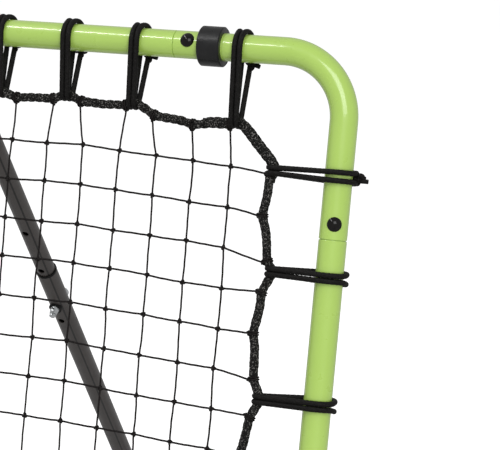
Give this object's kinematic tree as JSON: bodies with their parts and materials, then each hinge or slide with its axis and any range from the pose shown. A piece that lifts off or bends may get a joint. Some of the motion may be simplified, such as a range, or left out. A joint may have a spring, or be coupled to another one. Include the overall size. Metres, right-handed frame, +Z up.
{
  "type": "pitch back rebounder",
  "caption": "Square tube frame with a knotted rebound net on elastic loops, leaning on a telescopic strut over a floor base.",
  "frame": {"origin": "on the floor, under the middle of the whole object's box", "axes": "+X across the net to the right as the thrower sees it, +Y away from the thrower, +Z up"},
  "size_m": [1.013, 0.888, 0.9746],
  "materials": {
    "green_powder_coat": "gloss lime-green powder coat",
    "black_powder_coat": "satin black powder coat",
    "grey_enamel": "satin dark grey enamel",
    "black_bolt": "gloss black",
    "zinc_steel": "bright zinc plate",
    "rubber": "smooth black rubber",
    "black_plastic": "moulded black",
    "border_rope": "braided black with grey flecks",
    "bungee_cord": "black braided cover over elastic",
    "net_twine": "knotted dark twine"
  },
  "bodies": {
    "base": {"base_arm_left": "black_powder_coat", "base_arm_right": "black_powder_coat", "base_corner_left": "black_powder_coat", "base_corner_right": "black_powder_coat", "base_rear_tube": "black_powder_coat", "base_bolts": "black_bolt", "base_nuts": "black_bolt", "hinge_foot_left": "rubber", "hinge_foot_right": "rubber", "rear_foot_left": "rubber", "rear_foot_right": "rubber", "foot_clevis": "black_powder_coat", "foot_pivot_bolt": "zinc_steel", "foot_pivot_nut": "zinc_steel"},
    "net_frame": {"top_tube": "green_powder_coat", "bottom_tube": "green_powder_coat", "left_tube": "green_powder_coat", "right_tube": "green_powder_coat", "corner_top_left": "green_powder_coat", "corner_top_right": "green_powder_coat", "corner_bottom_left": "green_powder_coat", "corner_bottom_right": "green_powder_coat", "frame_bolts": "black_bolt", "frame_nuts": "black_bolt", "bumper_top_left": "rubber", "bumper_top_right": "rubber", "bumper_bottom_left": "rubber", "bumper_bottom_right": "rubber", "border_rope": "border_rope", "net": "net_twine", "bungees_top": "bungee_cord", "bungees_bottom": "bungee_cord", "bungees_left": "bungee_cord", "bungees_right": "bungee_cord", "head_clevis": "green_powder_coat", "head_pivot_bolt": "zinc_steel", "head_pivot_nut": "zinc_steel"},
    "strut_upper": {"strut_inner_tube": "grey_enamel", "strut_head_cap": "black_plastic"},
    "strut_lower": {"strut_outer_tube": "grey_enamel", "strut_collar": "black_plastic", "strut_foot": "black_plastic", "wing_bolt": "zinc_steel", "wing_washer": "black_plastic"},
    "wing_nut": {"wing_nut": "zinc_steel"}
  },
  "joints": [
    {"name": "frame_tilt", "type": "hinge", "parent": "base", "child": "net_frame", "pos_m": [0, -0.421, 0.0235], "axis": [-1, 0, 0], "range_deg": [-11, 4.75]},
    {"name": "strut_head_pivot", "type": "hinge", "parent": "net_frame", "child": "strut_upper", "pos_m": [0, -0.13868, 0.89209], "axis": [1, 0, 0], "range_deg": [-4.9, 2.15]},
    {"name": "strut_slide", "type": "slide", "parent": "strut_upper", "child": "strut_lower", "axis": [0, 0.5584, -0.8296], "range_m": [-0.06, 0.139]},
    {"name": "wing_nut_spin", "type": "hinge", "parent": "strut_lower", "child": "wing_nut", "pos_m": [0, 0.10421, 0.53121], "axis": [0, -0.8296, -0.5584], "continuous": true}
  ],
  "couplings": [
    {"joint": "strut_head_pivot", "follows": "frame_tilt", "ratio": 0.4412},
    {"joint": "strut_slide", "follows": "frame_tilt", "m_per_rad": -0.7051}
  ]
}
